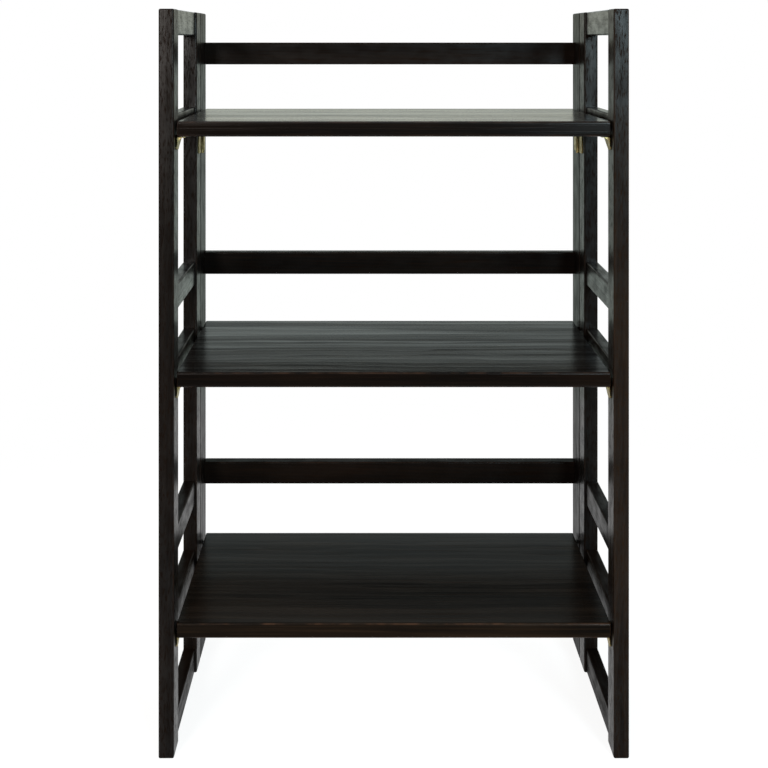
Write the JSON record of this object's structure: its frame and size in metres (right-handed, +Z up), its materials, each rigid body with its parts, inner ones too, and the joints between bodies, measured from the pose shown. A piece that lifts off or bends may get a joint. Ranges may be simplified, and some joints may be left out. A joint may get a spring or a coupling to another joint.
{
  "type": "folding bookcase",
  "caption": "Free-standing folding bookcase in dark stained wood, with open side frames, a railed back frame and shelves that turn up on rear pins.",
  "frame": {"origin": "middle of the footprint, on the floor", "axes": "+Z up, the open front faces -Y, +X to the right as seen from the front"},
  "size_m": [0.607, 0.29, 0.967],
  "materials": {
    "frame_wood": "near-black brown stain under satin lacquer",
    "shelf_wood": "near-black brown stain under satin lacquer, grain along the shelf",
    "brass": "polished, slightly dulled",
    "pin_steel": "plain turned"
  },
  "bodies": {
    "back_frame": {"left_back_stile": "frame_wood", "right_back_stile": "frame_wood", "bottom_back_rail": "frame_wood", "middle_back_rail": "frame_wood", "top_back_rail": "frame_wood", "left_bottom_stile_leaf": "brass", "left_middle_stile_leaf": "brass", "left_top_stile_leaf": "brass", "left_bottom_hinge_pin": "brass", "left_middle_hinge_pin": "brass", "left_top_hinge_pin": "brass", "right_bottom_stile_leaf": "brass", "right_middle_stile_leaf": "brass", "right_top_stile_leaf": "brass", "right_bottom_hinge_pin": "brass", "right_middle_hinge_pin": "brass", "right_top_hinge_pin": "brass"},
    "left_side": {"left_front_post": "frame_wood", "left_rear_post": "frame_wood", "left_foot_rail": "frame_wood", "left_bottom_shelf_rail": "frame_wood", "left_lower_rail": "frame_wood", "left_middle_shelf_rail": "frame_wood", "left_upper_rail": "frame_wood", "left_top_shelf_rail": "frame_wood", "left_top_rail": "frame_wood", "left_bottom_post_leaf": "brass", "left_middle_post_leaf": "brass", "left_top_post_leaf": "brass", "left_bottom_shelf_rest": "brass", "left_middle_shelf_rest": "brass", "left_top_shelf_rest": "brass"},
    "right_side": {"right_front_post": "frame_wood", "right_rear_post": "frame_wood", "right_foot_rail": "frame_wood", "right_bottom_shelf_rail": "frame_wood", "right_lower_rail": "frame_wood", "right_middle_shelf_rail": "frame_wood", "right_upper_rail": "frame_wood", "right_top_shelf_rail": "frame_wood", "right_top_rail": "frame_wood", "right_bottom_post_leaf": "brass", "right_middle_post_leaf": "brass", "right_top_post_leaf": "brass", "right_bottom_shelf_rest": "brass", "right_middle_shelf_rest": "brass", "right_top_shelf_rest": "brass"},
    "bottom_shelf_board": {"bottom_shelf": "shelf_wood", "bottom_left_pivot_pin": "pin_steel", "bottom_right_pivot_pin": "pin_steel"},
    "middle_shelf_board": {"middle_shelf": "shelf_wood", "middle_left_pivot_pin": "pin_steel", "middle_right_pivot_pin": "pin_steel"},
    "top_shelf_board": {"top_shelf": "shelf_wood", "top_left_pivot_pin": "pin_steel", "top_right_pivot_pin": "pin_steel"}
  },
  "joints": [
    {"name": "bottom_shelf_flip", "type": "hinge", "parent": "back_frame", "child": "bottom_shelf_board", "pos_m": [0, 0.116, 0.1635], "axis": [-1, 0, 0], "range_deg": [0, 90]},
    {"name": "middle_shelf_flip", "type": "hinge", "parent": "back_frame", "child": "middle_shelf_board", "pos_m": [0, 0.116, 0.4875], "axis": [-1, 0, 0], "range_deg": [0, 90]},
    {"name": "top_shelf_flip", "type": "hinge", "parent": "back_frame", "child": "top_shelf_board", "pos_m": [0, 0.116, 0.8115], "axis": [-1, 0, 0], "range_deg": [0, 90]},
    {"name": "left_side_fold", "type": "hinge", "parent": "back_frame", "child": "left_side", "pos_m": [-0.2806, 0.0885, 0.4835], "axis": [0, 0, 1], "range_deg": [0, 0.6]},
    {"name": "right_side_fold", "type": "hinge", "parent": "back_frame", "child": "right_side", "pos_m": [0.2806, 0.0885, 0.4835], "axis": [0, 0, -1], "range_deg": [0, 0.6]}
  ]
}
